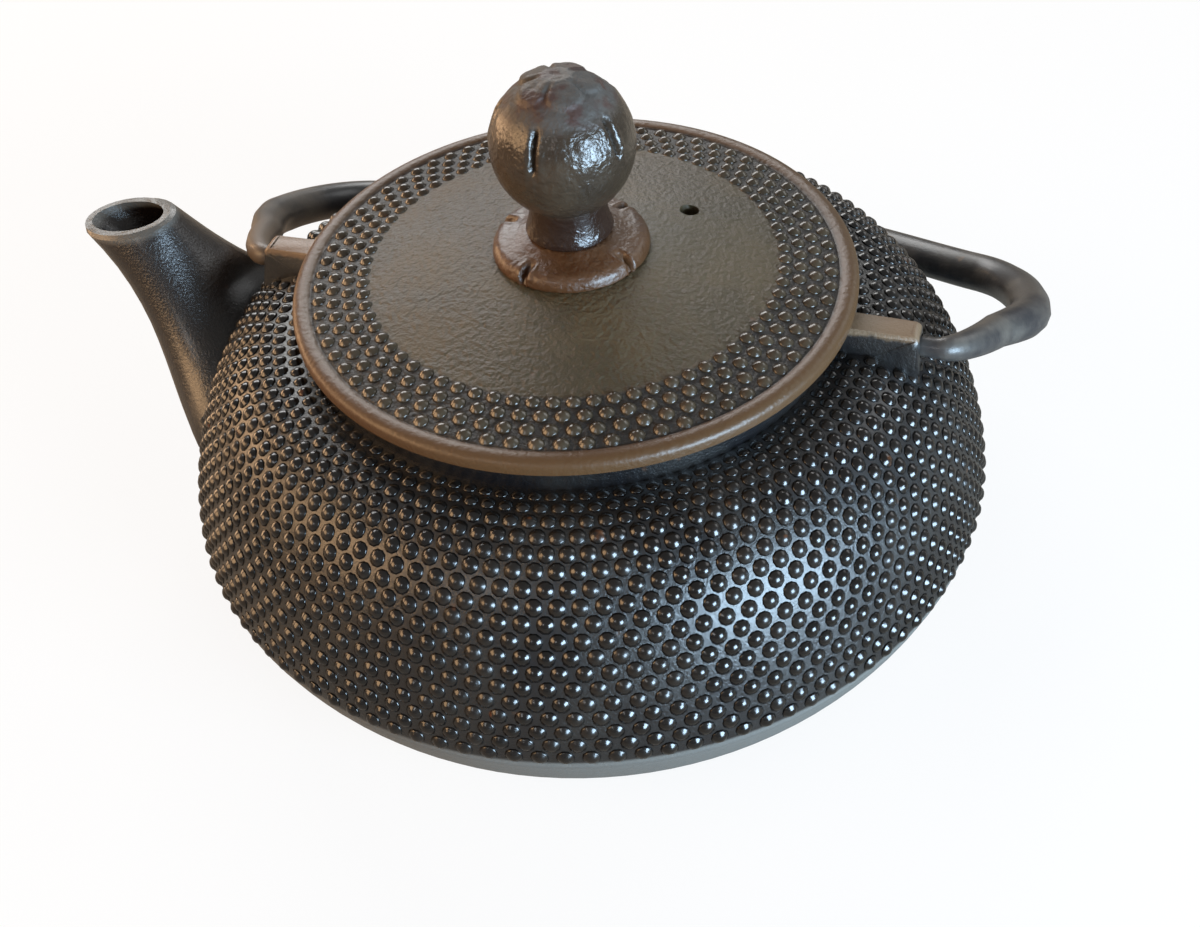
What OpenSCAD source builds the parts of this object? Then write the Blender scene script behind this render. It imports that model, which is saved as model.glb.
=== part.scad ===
// Low cast-iron teapot with a wide lid, a bail handle and a lift-out strainer.
// +Z is up and the foot stands on z = 0, centred on the Z axis.
// The spout points to -X, and the bail swings about an axis along X.

/* [Pot] */
// Widest diameter of the pot, at its belly line
belly_d = 127.2; // [118:0.2:136]
// Height of the belly line above the table
belly_z = 18.5; // [16:0.5:22]
// Thickness of the cast wall
wall = 3.2; // [2.4:0.1:4]
// Thickness of the cast floor
floor_t = 3.2; // [2.4:0.1:4.5]
// Outer diameter of the foot ring
foot_d = 103; // [98:0.5:106]
// Height of the foot ring's plain band
foot_h = 2.6; // [2:0.1:3.5]
// Width of the foot ring
foot_ring_w = 5; // [3:0.5:7]
// Depth of the hollow inside the foot ring
foot_hollow = 1.5; // [0.5:0.1:1.8]
// Height at which the shoulder meets the neck
shoulder_z = 45.8; // [44:0.2:47]

/* [Neck and mouth] */
// Outer diameter of the neck that the lid sits on
neck_d = 78.8; // [77:0.2:80.6]
// Height of the neck's top face, where the lid rests
seat_z = 50.5; // [49.5:0.1:52]
// Thickness of the neck's wall round the mouth
neck_wall = 3.2; // [2.4:0.1:4.2]
// Width of the ledge in the mouth that the strainer hangs on
ledge_w = 2.8; // [2.2:0.1:3.6]
// Depth of the strainer's ledge below the neck's top
ledge_drop = 3.4; // [3:0.1:4.4]

/* [Spout] */
// Reach of the mouth's outer lip from the pot's axis
spout_reach = 85; // [80:0.5:92]
// Height of the mouth's outer lip
spout_lip_z = 50; // [46:0.5:54]
// Length of the oval mouth
spout_mouth_l = 16.7; // [14:0.1:20]
// Width of the oval mouth
spout_mouth_w = 12.2; // [9:0.1:14]
// Width of the spout where it grows out of the pot
spout_root_w = 49.5; // [42:0.5:54]
// Wall of the spout at its lip
spout_lip_wall = 1.8; // [1.4:0.1:2.2]

/* [Hobnails] */
// Hobnails in one ring round the pot
stud_count = 114; // [90:2:120]
// Rings of hobnails from the belly line to the neck
stud_rows = 18; // [12:1:18]
// Hobnails in one ring of the lid's band
lid_stud_count = 72; // [60:2:80]
// Rings of hobnails on the lid
lid_stud_rows = 4; // [2:1:4]
// Height of a hobnail
stud_h = 0.6; // [0.4:0.05:0.8]

/* [Lugs] */
// Distance from the pot's axis to the lugs' outer ends
lug_reach = 51.5; // [50:0.1:53]
// Thickness of a lug at its outer end
lug_t_out = 4.8; // [4.6:0.1:6]
// Thickness of a lug at the neck
lug_t_in = 3.2; // [2.6:0.1:4]
// How much thicker a lug is at its foot than at its top
lug_draft = 4.4; // [0:0.1:5]
// Gap between a lug's top and the lid's underside
lug_gap = 0.5; // [0.4:0.1:1]
// Depth of the blind hole that takes the bail's end
lug_hole_depth = 6; // [4:0.5:8]

/* [Bail] */
// Diameter of the bail's turned-in ends
bail_end_d = 2.9; // [2.4:0.1:3.2]
// Distance from the pot's axis to the middle of each shoulder
bail_half_w = 65.4; // [64:0.2:70]
// Height of the arch from its swing axis to its middle line
bail_rise = 74; // [73:0.2:82]
// Depth of the swing axis below the lid's seat
bail_axis_drop = 3.5; // [3.2:0.1:4.4]
// Thickness of the rod at the arms
bail_arm_d = 6; // [5:0.1:6.4]
// Thickness of the rod at the grip
bail_grip_d = 6.2; // [5.4:0.1:6.4]
// Angle of the bail below level as it rests on the belly
bail_rest_angle = 23.3; // [20:0.1:23.5]
// How far the bail has slid sideways in its lugs
bail_slid = 1; // [0:0.1:1.2]

/* [Lid] */
// Outer diameter of the lid
lid_d = 84; // [82.4:0.2:90]
// Thickness of the lid's rim
lid_rim_t = 2.8; // [2.2:0.1:3.6]
// Width of the smooth bead round the rim
lid_bead_w = 3.2; // [2.6:0.1:4]
// Rise of the domed plate from the bead to the knob
lid_rise = 4.0; // [2:0.1:6]
// Thickness of the domed plate
lid_t = 2.8; // [2.4:0.1:3.2]
// Depth of the skirt that centres the lid in the mouth
lid_skirt_h = 1.9; // [1.4:0.1:2.2]
// Thickness of the skirt
lid_skirt_t = 2; // [1.4:0.1:3]
// Diameter of the steam hole
steam_d = 3; // [2:0.1:4]
// Distance of the steam hole from the lid's middle
steam_r = 19.7; // [16:0.1:26]
// Direction of the steam hole, turned from +X
steam_angle = 43; // [0:1:360]

/* [Knob] */
// Diameter of the bud-shaped knob
knob_d = 20.5; // [18:0.1:24]
// Height of the knob's stem between its seat and the bud
knob_stem_h = 4.4; // [3.5:0.1:7]
// Diameter of the stem
knob_stem_d = 12; // [9:0.1:13]
// Diameter of the tenon that passes through the lid
tenon_d = 5; // [4:0.1:6]
// Number of petals on the bud and on its seat
petals = 5; // [5:1:6]
// Diameter of the petalled seat under the stem
flower_d = 23.2; // [21:0.1:26]
// Thickness of the petalled seat at its edge
flower_edge_t = 1.9; // [1.4:0.1:2.4]
// Extra height of the petalled seat at its middle
flower_dome = 1.3; // [0.8:0.1:2]
// Diameter of the washer under the lid
washer_d = 11; // [9:0.5:14]
// Thickness of the washer under the lid
washer_t = 0.8; // [0.6:0.1:1.2]

/* [Strainer] */
// Depth of the strainer below its rim
strainer_depth = 33; // [26:1:36]
// Thickness of the strainer's sheet steel
sheet = 0.5; // [0.4:0.1:0.8]
// Depth of the rim's skirt that grips the basket
rim_skirt_h = 4; // [3:0.5:6]
// Diameter of the basket's holes
strainer_hole_d = 2.4; // [1.6:0.1:2.6]
// Number of holes round the basket
strainer_holes = 24; // [16:2:28]
// Rows of holes down the basket
strainer_rows = 5; // [3:1:6]

/* [Fits] */
// Loose running gap, of the bail's ends in the lugs and the lid in the mouth
loose_gap = 0.35; // [0.25:0.05:0.5]
// Close gap between pieces that are pressed or crimped together
close_gap = 0.05; // [0.02:0.01:0.1]

/* [Hidden] */
$fn = 96;
eps = 0.01;

iron = [0.16, 0.15, 0.15];
lid_iron = [0.33, 0.31, 0.30];
bronze = [0.42, 0.31, 0.20];
steel = [0.75, 0.76, 0.78];

// Pot
belly_r = belly_d / 2;
foot_r = foot_d / 2;
neck_r = neck_d / 2;
mouth_r = neck_r - neck_wall;
ledge_r = mouth_r - ledge_w;
ledge_z = seat_z - ledge_drop;
inside_z = foot_hollow + floor_t;
shoulder_pull_r = belly_r - 6.6;
shoulder_pull_z = shoulder_z + 4.7;
low_pull_drop = 1.6;
belly_tangent = 4;
low_pull_r = belly_r - 6.4;
neck_edge = 0.6;
curve_n = 14;

// Hobnails: each is a low four-sided point, and the valleys between them stand clear of the skin
stud_low = 0.1;
stud_first = 0.8;
stud_last = 1.4;
stud_skin_step = 0.025;

// Spout: its upper and lower edges, as [x, z] in its middle plane
spout_tilt = 7.3;
spout_low_root = [-(belly_r - 2.4), belly_z - 1.6];
spout_low_bend = [-(belly_r + 11.6), belly_z - 2.6];
spout_low_neck = [-(belly_r + 6.5), belly_z + 19.1];
spout_low_lip = [-spout_reach, spout_lip_z];
spout_up_root = [-(belly_r - 11.2), belly_z + 13.7];
spout_up_bend = [-(belly_r - 2.9), belly_z + 20.5];
spout_up_lip = spout_low_lip + spout_mouth_l * [cos(spout_tilt), sin(spout_tilt)];
spout_waist_w = 21.2;
spout_sides = 28;
spout_rings = 14;
spout_inset = 6;

// Lugs and swing axis
axis_z = seat_z - bail_axis_drop;
lug_top_z = seat_z - lug_gap;
lug_flare = 1.2;
lug_low_z = axis_z - 9;
lug_corner = 1.2;
lug_hole_d = bail_end_d + 2 * loose_gap;

// Bail: its middle line in its own plane, [out from the axis, up from the swing axis]
bail_root_d = bail_end_d + 0.2;
bail_start = lug_reach + lug_flare + bail_slid - 0.6;
bail_in = lug_reach - lug_hole_depth + bail_slid + 0.4;
bail_knee = [bail_half_w - 4.8, 13];
bail_shoulder = [bail_half_w, 26.5];
bail_bend = [bail_half_w - 8.4, 48.7];
bail_apex = [0, bail_rise];
bail_sides = 14;

// Lid, measured up from its seat
lid_r = lid_d / 2;
lid_top_z = seat_z + lid_rim_t;
plate_r = lid_r - lid_bead_w;
plate_edge_z = lid_top_z - 0.5;
flower_r = flower_d / 2;
flower_z = plate_edge_z + lid_rise;
skirt_r = mouth_r - 2 * loose_gap;
lid_under_z = flower_z - lid_t;
boss_r = washer_d / 2 + 1.5;

// Knob
bud_r = knob_d / 2;
stem_z = flower_z + flower_edge_t + flower_dome;
stem_r = knob_stem_d / 2;
bud_z = stem_z + knob_stem_h + bud_r - 0.6;
tenon_r = tenon_d / 2;
rivet_d = tenon_d + 3;
rivet_h = 1.2;

// Strainer
strainer_gap = loose_gap + 0.15;
rim_r = mouth_r - loose_gap;
rim_skirt_r = ledge_r - strainer_gap;
basket_r = rim_skirt_r - sheet - close_gap;
basket_low_z = ledge_z + sheet - strainer_depth;
band_h = 4;
floor_edge_h = 2.6;

// A point on a cubic curve with ends a and d and pulls b and c
function cubic(a, b, c, d, t) =
    pow(1 - t, 3) * a + 3 * t * pow(1 - t, 2) * b + 3 * t * t * (1 - t) * c + pow(t, 3) * d;

// A point on a quadratic curve with ends a and c and a pull b
function quadratic(a, b, c, t) = pow(1 - t, 2) * a + 2 * t * (1 - t) * b + t * t * c;

function cubic_points(a, b, c, d, n) = [for (i = [0:n]) cubic(a, b, c, d, i / n)];

function reversed(list) = [for (i = [len(list) - 1:-1:0]) list[i]];

// A round edge, as points on an arc
function arc_points(c, r, from, to, n = 6) =
    [for (i = [0:n]) c + r * [cos(from + (to - from) * i / n), sin(from + (to - from) * i / n)]];

// A solid through a list of rings with the same number of points
module loft(rings) {
    n = len(rings[0]);
    last = len(rings) - 1;
    points = [for (ring = rings) each ring];
    walls = [for (i = [0:last - 1], j = [0:n - 1])
        let (a = i * n + j, b = i * n + (j + 1) % n)
        each [[a, b + n, b], [a, a + n, b + n]]];
    polyhedron(points, concat(walls,
        [[for (j = [0:n - 1]) j]],
        [[for (j = [n - 1:-1:0]) last * n + j]]), convexity = 6);
}

// Outline of the pot from its foot to its neck, shrunk inwards by a wall
function low_outline(inset, low, t) =
    cubic([foot_r + 1 - inset * 0.3, low], [low_pull_r - inset * 0.8, low + inset * 0.5 - low_pull_drop],
          [belly_r - inset, belly_z - belly_tangent], [belly_r - inset, belly_z], t);

function high_outline(inset, t) =
    cubic([belly_r - inset, belly_z], [belly_r - inset, belly_z + belly_tangent],
          [shoulder_pull_r - inset * 0.9, shoulder_pull_z - inset],
          [inset > 0 ? ledge_r : neck_r, shoulder_z - inset], t);

function pot_outline(inset, low) = concat(
    [for (i = [0:curve_n]) low_outline(inset, low, i / curve_n)],
    [for (i = [0:curve_n]) high_outline(inset, i / curve_n)]);

module pot_blank() {
    ring_in = foot_r - foot_ring_w;
    rotate_extrude()
        polygon(concat(
            [[0, foot_hollow], [ring_in - foot_hollow, foot_hollow], [ring_in, 0],
             [foot_r, 0]],
            pot_outline(0, foot_h),
            [[neck_r, seat_z - neck_edge], [neck_r - neck_edge, seat_z], [0, seat_z]]));
}

// The pot's skin at t, from -1 at the foot past 0 at the belly line to 1 at the neck
function pot_skin(t) = t < 0 ? low_outline(0, foot_h, 1 + t) : high_outline(0, t);

// Lengths along the skin from t = -0.2, each with its t, to space the rings of hobnails evenly
pot_skin_run = [for (t = -0.2, s = 0; t <= 1.001;
        s = s + norm(pot_skin(t + stud_skin_step) - pot_skin(t)), t = t + stud_skin_step) [s, t]];
pot_skin_by_t = [for (p = pot_skin_run) [p[1], p[0]]];

// A ring's place on a skin line: [radius, height] and the direction square to the skin
function ring_at(before, at, after) =
    let (run = after - before) [at, [run[1], -run[0]] / norm(run)];

function pot_stud_ring(k) =
    let (from = lookup(0, pot_skin_by_t) + stud_first,
         gap = (lookup(1, pot_skin_by_t) - stud_last - from) / (stud_rows - 1),
         t = lookup(from + gap * k, pot_skin_run))
    ring_at(pot_skin(t - 0.01), pot_skin(t), pot_skin(t + 0.01));

// Hobnails between the skin rings: ring k holds its points, and every second ring sits half a
// step round, so that each hobnail stands in a diamond of four valley corners
module studs(skin, n) {
    rows = len(skin) - 2;
    function corner(k, a, h) =
        let (p = skin[k][0] + skin[k][1] * h) [p[0] * cos(a), p[0] * sin(a), p[1]];
    function turn(k) = (k + 1) % 2 / 2;
    valleys = [for (k = [0:rows + 1], j = [0:n - 1]) corner(k, (j + turn(k) + 0.5) * 360 / n, stud_low)];
    tips = [for (k = [1:rows], j = [0:n - 1]) corner(k, (j + turn(k)) * 360 / n, stud_low + stud_h)];
    function valley(k, j) = k * n + (j + n) % n;
    function tip(k, j) = (rows + 2) * n + (k - 1) * n + j;
    function beside(k) = turn(k) > 0 ? 0 : -1;
    polyhedron(concat(valleys, tips), concat(
        [for (k = [1:rows], j = [0:n - 1])
            let (left = valley(k, j - 1), right = valley(k, j),
                 top = valley(k + 1, j + beside(k)), low = valley(k - 1, j + beside(k)), c = tip(k, j))
            each [[c, top, right], [c, right, low], [c, low, left], [c, left, top]]],
        [for (j = [0:n - 1])
            [valley(1, j), valley(0, j + 1 + beside(1)), valley(0, j + beside(1))]],
        [for (j = [0:n - 1])
            [valley(rows, j), valley(rows + 1, j + beside(rows)), valley(rows + 1, j + 1 + beside(rows))]],
        [[for (j = [0:n - 1]) valley(0, j)]],
        [[for (j = [n - 1:-1:0]) valley(rows + 1, j)]]), convexity = 6);
}

module pot_hollow() {
    rotate_extrude()
        polygon(concat(
            [[0, inside_z]],
            pot_outline(wall, inside_z),
            [[ledge_r, ledge_z], [mouth_r, ledge_z], [mouth_r, seat_z + 1], [0, seat_z + 1]]));
}

// One oval ring of the spout at t, with its wall taken off
function spout_ring(t, inset, shift = 0, scale_by = 1) =
    let (up = quadratic(spout_up_root, spout_up_bend, spout_up_lip, t),
         low = cubic(spout_low_root, spout_low_bend, spout_low_neck, spout_low_lip, t),
         middle = (up + low) / 2,
         half = (up - low) / 2,
         in_plane = (norm(half) - inset) / norm(half) * scale_by,
         across = (quadratic(spout_root_w, spout_waist_w, spout_mouth_w, t) / 2 - inset) * scale_by)
    [for (j = [0:spout_sides - 1])
        let (a = 360 * j / spout_sides)
        [middle[0] + half[0] * in_plane * cos(a) + shift,
         across * sin(a),
         middle[1] + half[1] * in_plane * cos(a)]];

module spout_skin() {
    edge = 0.6;
    loft(concat(
        [for (i = [0:spout_rings - 1]) spout_ring(i / spout_rings, 0)],
        [spout_ring(0.985, 0.05), spout_ring(1, edge)]));
}

module spout_bore() {
    loft(concat(
        [spout_ring(0, wall, spout_inset, 0.8)],
        [for (i = [0:spout_rings])
            let (t = i / spout_rings) spout_ring(t, wall + (spout_lip_wall - wall) * t)],
        [spout_ring(1.04, spout_lip_wall - 0.3)]));
}

module lug() {
    depth = lug_top_z - lug_low_z;
    foot_t = (lug_t_out + lug_draft) / 2;
    plan = concat(
        [[neck_r - 1, (lug_t_in + lug_draft) / 2], [neck_r - 1, -(lug_t_in + lug_draft) / 2]],
        arc_points([lug_reach + lug_flare - lug_corner, -foot_t + lug_corner], lug_corner, -90, 0),
        arc_points([lug_reach + lug_flare - lug_corner, foot_t - lug_corner], lug_corner, 0, 90));
    side = concat(
        [[neck_r - 2, lug_low_z], [lug_reach + lug_flare + 1, lug_low_z]],
        [[lug_reach + lug_flare, lug_low_z + 1]],
        arc_points([lug_reach - lug_corner, lug_top_z - lug_corner], lug_corner, 5, 90),
        [[neck_r - 2, lug_top_z]]);
    end = [[-foot_t, 0], [foot_t, 0], [lug_t_out / 2, depth - 0.5], [lug_t_out / 2 - 0.5, depth],
           [-lug_t_out / 2 + 0.5, depth], [-lug_t_out / 2, depth - 0.5]];
    intersection() {
        translate([0, 0, lug_low_z]) linear_extrude(depth) polygon(plan);
        rotate([90, 0, 0]) linear_extrude(2 * foot_t + 2, center = true) polygon(side);
        translate([neck_r - 3, 0, lug_low_z]) rotate([90, 0, 90]) linear_extrude(20) polygon(end);
    }
}

module lug_hole() {
    translate([lug_reach - lug_hole_depth, 0, axis_z]) rotate([0, 90, 0])
        cylinder(d = lug_hole_d, h = lug_hole_depth + 3);
}

module both_sides() {
    children();
    mirror([1, 0, 0]) children();
}

module pot_body() {
    color(iron)
    difference() {
        union() {
            pot_blank();
            studs([for (k = [-1:stud_rows]) pot_stud_ring(k)], round(stud_count));
            spout_skin();
            both_sides() lug();
        }
        pot_hollow();
        spout_bore();
        both_sides() lug_hole();
    }
}

// Height of the lid's domed top at a distance r from its middle
function dome(r) = plate_edge_z + lid_rise * (1 - pow(max(r - flower_r, 0) / (plate_r - flower_r), 1.25));

// Rings of hobnails on the lid, from its bead inwards
function lid_stud_ring(k) =
    let (r = plate_r - 0.8 - 2.25 * k)
    ring_at([r + 0.2, dome(r + 0.2)], [r, dome(r)], [r - 0.2, dome(r - 0.2)]);

module lid_studs() {
    difference() {
        studs([for (k = [-0.6, each [0:lid_stud_rows - 1], lid_stud_rows - 0.4]) lid_stud_ring(k)],
              round(lid_stud_count));
        cylinder(r = plate_r - 2.25 * lid_stud_rows - 1.5, h = lid_top_z + lid_rise);
    }
}

module lid() {
    bead = lid_bead_w / 2;
    bead_z = lid_top_z - 1.1;
    top = [for (i = [0:8]) let (r = flower_r + 0.4 + (plate_r - 0.4 - flower_r) * i / 8) [r, dome(r)]];
    under = [for (i = [0:6])
        let (r = boss_r + 1 + (skirt_r - lid_skirt_t - 1 - boss_r) * i / 6)
        [r, dome(r) - lid_t]];
    color(lid_iron)
    difference() {
        union() {
            rotate_extrude()
                polygon(concat(
                    [[0, flower_z]], top,
                    [[plate_r + 0.4, plate_edge_z - 0.3]],
                    [for (i = [0:8]) let (a = 160 - 20 * i)
                        [lid_r - bead + bead * cos(a), bead_z + 1.1 * sin(a)]],
                    [[lid_r, seat_z + 0.7], [lid_r - 0.7, seat_z], [skirt_r, seat_z],
                     [skirt_r, seat_z - lid_skirt_h + 0.5], [skirt_r - 0.5, seat_z - lid_skirt_h],
                     [skirt_r - lid_skirt_t, seat_z - lid_skirt_h]],
                    reversed(under),
                    [[boss_r, lid_under_z], [0, lid_under_z]]));
            lid_studs();
        }
        cylinder(d = tenon_d + 2 * close_gap, h = flower_z + 1);
        rotate(steam_angle) translate([steam_r, 0, seat_z])
            cylinder(d = steam_d, h = lid_rise + lid_rim_t + 2, $fn = 32);
    }
}

// Slits that part the petals on the bud's flank, between two heights on its round side
module bud_slits() {
    for (i = [0:petals - 1])
        rotate(-94 + 360 / petals * i) rotate([90, 0, 0]) rotate(6)
            rotate_extrude(angle = 34, $fn = 72) translate([bud_r + 0.1, 0]) circle(d = 0.9, $fn = 16);
}

// A shallow open flower on top of the bud, one round petal beside another
module bud_crown() {
    reach = bud_r * 0.58;
    petal_r = reach * 0.44;
    intersection() {
        translate([0, 0, bud_z]) sphere(r = bud_r + 0.4);
        for (i = [0:petals - 1])
            rotate(-58 + 360 / petals * i) translate([reach - petal_r, 0, bud_z + bud_r / 2])
                cylinder(r = petal_r, h = bud_r, $fn = 48);
    }
}

module knob() {
    low_z = lid_under_z - washer_t;
    color(lid_iron)
    difference() {
        union() {
            translate([0, 0, bud_z]) sphere(r = bud_r);
            bud_crown();
            rotate_extrude()
                polygon([[0, stem_z], [stem_r + 0.3, stem_z], [stem_r, stem_z + 1.2],
                         [stem_r - 0.2, bud_z - bud_r + 1.5], [stem_r - 0.6, bud_z - bud_r + 2.5],
                         [0, bud_z - bud_r + 2.5]]);
            translate([0, 0, low_z - eps]) cylinder(r = tenon_r, h = stem_z - low_z + 1);
            rotate_extrude()
                polygon([[0, low_z - rivet_h], [rivet_d / 2 - 1, low_z - rivet_h],
                         [rivet_d / 2, low_z - 0.4], [rivet_d / 2, low_z], [0, low_z]]);
        }
        translate([0, 0, bud_z]) bud_slits();
        translate([0, 0, bud_z + bud_r + 1.2]) sphere(r = 1.7, $fn = 24);
    }
}

module knob_seat() {
    edge_z = flower_z + flower_edge_t;
    color(bronze)
    difference() {
        rotate_extrude()
            polygon(concat(
                [[tenon_r + close_gap, flower_z], [flower_r - 0.3, flower_z],
                 [flower_r, flower_z + 0.4]],
                arc_points([flower_r - 0.8, edge_z - 0.8], 0.8, 0, 60),
                [[flower_r - 2.6, edge_z + 0.45], [stem_r + 1.8, stem_z - 0.35],
                 [stem_r + 0.8, stem_z], [tenon_r + close_gap, stem_z]]));
        for (i = [0:petals - 1])
            rotate(-103 + 360 / petals * i) translate([flower_r + 0.2, 0, flower_z - 1]) {
                cylinder(d = 2.2, h = flower_edge_t + 3, $fn = 24);
                translate([-1.6, 0, flower_edge_t + 2.3]) rotate([0, -80, 0])
                    cylinder(d = 1.6, h = 4, center = true, $fn = 24);
            }
    }
}

module knob_washer() {
    color(steel)
    translate([0, 0, lid_under_z - washer_t])
        difference() {
            cylinder(d = washer_d, h = washer_t);
            translate([0, 0, -1]) cylinder(r = tenon_r + close_gap, h = washer_t + 2);
        }
}

// Middle line of one half of the bail, from its lug to its apex, with the rod's thickness
bail_half = concat(
    [for (t = [0:0.2:0.8]) concat(
        cubic([bail_start, 0], [bail_start + 2.5, 0], bail_knee - [1.8, 6], bail_knee, t),
        bail_root_d + (bail_arm_d - bail_root_d) * 0.5 * pow(t, 1.5))],
    [for (t = [0:0.2:0.8]) concat(
        cubic(bail_knee, bail_knee + [2.2, 4.2], bail_shoulder - [0.1, 5], bail_shoulder, t),
        bail_root_d + (bail_arm_d - bail_root_d) * (0.5 + 0.5 * t))],
    [for (t = [0:0.1:0.9]) concat(
        cubic(bail_shoulder, bail_shoulder + [0.1, 10.5], bail_bend + [5.2, -3], bail_bend, t),
        bail_arm_d + (bail_grip_d - bail_arm_d) * t)],
    [for (t = [0:0.083:0.92]) concat(
        cubic(bail_bend, bail_bend + [-11, 5.2], bail_apex + [27, 0], bail_apex, t),
        bail_grip_d)]);

bail_line = concat(
    bail_half,
    [[bail_apex[0], bail_apex[1], bail_grip_d]],
    [for (p = reversed(bail_half)) [-p[0], p[1], p[2]]]);

function bail_ring(i) =
    let (last = len(bail_line) - 1,
         before = bail_line[max(i - 1, 0)],
         after = bail_line[min(i + 1, last)],
         run = i == 0 || i == last ? [1, 0] : [after[0] - before[0], after[1] - before[1]],
         side = [run[1], -run[0]] / norm(run),
         r = bail_line[i][2] / 2)
    [for (j = [0:bail_sides - 1])
        let (a = 360 * j / bail_sides)
        [bail_line[i][0] + side[0] * r * cos(a),
         bail_line[i][1] + side[1] * r * cos(a),
         -r * sin(a)]];

module bail() {
    color(iron)
    translate([bail_slid, 0, axis_z]) rotate([-bail_rest_angle, 0, 0]) {
        loft([for (i = [0:len(bail_line) - 1]) bail_ring(i)]);
        both_sides()
            translate([bail_in, 0, 0]) rotate([0, 90, 0])
                cylinder(d = bail_end_d, h = bail_start - bail_in + 1);
    }
}

module strainer_rim() {
    color(steel)
    rotate_extrude()
        polygon([[rim_skirt_r - sheet, ledge_z - rim_skirt_h],
                 [rim_skirt_r, ledge_z - rim_skirt_h],
                 [rim_skirt_r, ledge_z], [rim_r, ledge_z],
                 [rim_r, ledge_z + sheet], [rim_skirt_r - sheet + 0.3, ledge_z + sheet],
                 [rim_skirt_r - sheet, ledge_z + sheet - 0.3]]);
}

// The wall of the basket: an open tube with staggered rows of holes
module strainer_basket() {
    low = basket_low_z + sheet;
    row_gap = (ledge_z - rim_skirt_h - low - band_h - strainer_hole_d) / strainer_rows;
    first_z = low + band_h + row_gap / 2;
    color(steel)
    difference() {
        rotate_extrude()
            polygon([[basket_r - sheet, low], [basket_r, low], [basket_r, ledge_z - 0.2],
                     [basket_r - sheet, ledge_z - 0.2]]);
        for (row = [0:strainer_rows - 1], i = [0:strainer_holes - 1])
            rotate((i + 0.5 * (row % 2)) * 360 / strainer_holes)
                translate([basket_r - sheet - 1, 0, first_z + row * row_gap]) rotate([0, 90, 0])
                    cylinder(d = strainer_hole_d, h = sheet + 2, $fn = 16);
    }
}

// The floor of the basket: a shallow dished disc whose turned-up edge sits inside the wall
module strainer_floor() {
    floor_r = basket_r - sheet - close_gap;
    corner = 1.5;
    ring_gap = 2.6 * strainer_hole_d;
    color(steel)
    difference() {
        rotate_extrude()
            polygon(concat(
                [[0, basket_low_z]],
                arc_points([floor_r - corner, basket_low_z + corner], corner, -90, 0),
                [[floor_r, basket_low_z + floor_edge_h], [floor_r - sheet, basket_low_z + floor_edge_h]],
                arc_points([floor_r - corner, basket_low_z + corner], corner - sheet, 0, -90),
                [[0, basket_low_z + sheet]]));
        for (ring = [1:floor((floor_r - corner - 2) / ring_gap)], i = [0:5 * ring - 1])
            rotate(i * 72 / ring) translate([ring * ring_gap, 0, basket_low_z - 1])
                cylinder(d = strainer_hole_d, h = sheet + 2, $fn = 16);
    }
}

module strainer_band() {
    band_r = basket_r + close_gap;
    low = basket_low_z + sheet;
    color(steel)
    rotate_extrude()
        polygon([[band_r, low], [band_r + sheet, low], [band_r + sheet, low + band_h - 1],
                 [band_r, low + band_h - 1]]);
}

pot_body();
lid();
knob();
knob_seat();
knob_washer();
bail();
strainer_rim();
strainer_basket();
strainer_floor();
strainer_band();
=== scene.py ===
import math

import bmesh
import bpy
from mathutils import Matrix, Vector, noise
from mathutils.bvhtree import BVHTree
from mathutils.kdtree import KDTree


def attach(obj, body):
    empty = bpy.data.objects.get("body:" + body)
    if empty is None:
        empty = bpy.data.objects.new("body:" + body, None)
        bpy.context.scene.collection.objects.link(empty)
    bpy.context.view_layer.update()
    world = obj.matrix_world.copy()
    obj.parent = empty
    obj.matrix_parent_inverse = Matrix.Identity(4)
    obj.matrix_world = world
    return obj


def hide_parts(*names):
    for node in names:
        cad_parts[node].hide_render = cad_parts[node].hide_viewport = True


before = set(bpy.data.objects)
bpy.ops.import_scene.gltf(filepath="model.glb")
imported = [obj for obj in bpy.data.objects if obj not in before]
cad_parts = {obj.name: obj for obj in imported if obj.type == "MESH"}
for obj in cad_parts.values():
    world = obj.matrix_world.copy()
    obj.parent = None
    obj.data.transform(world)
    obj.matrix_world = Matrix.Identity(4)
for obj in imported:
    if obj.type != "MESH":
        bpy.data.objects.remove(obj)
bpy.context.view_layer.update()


# Camera. It stands in front of the pot and looks down over the lid, with the spout on the left.
# The matrix holds its turn and, in the last column, its place in metres.
camera_data = bpy.data.cameras.new("camera")
camera_data.sensor_fit = "HORIZONTAL"
camera_data.sensor_width = 36.0
camera_data.lens = 41.46
camera_data.clip_start = 0.01
camera = bpy.data.objects.new("camera", camera_data)
camera.matrix_world = Matrix((
    (0.95629595, -0.16161845, 0.24367507, 0.05863),
    (0.28611964, 0.68901969, -0.66587343, -0.15610),
    (-0.06027949, 0.70649228, 0.70514895, 0.17707),
    (0.0, 0.0, 0.0, 1.0)))
bpy.context.scene.collection.objects.link(camera)
bpy.context.scene.camera = camera
bpy.context.scene.view_settings.view_transform = "Standard"


# Room. A dim, warm sky lights the pot. The camera sees plain white in its place, and glossy
# surfaces mirror only a little of that white.
SKY_LIGHT, SKY_SEEN, SKY_MIRRORED = 0.19, 1.0, 0.08


def link(tree, source, target):
    """Join an output socket to an input socket."""
    tree.links.new(source, target)


def math_node(tree, operation, *values):
    """The result of a sum on values, each a number or a socket."""
    node = tree.nodes.new("ShaderNodeMath")
    node.operation = operation
    for i, value in enumerate(values):
        if isinstance(value, (int, float)):
            node.inputs[i].default_value = value
        else:
            link(tree, value, node.inputs[i])
    return node.outputs[0]


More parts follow.
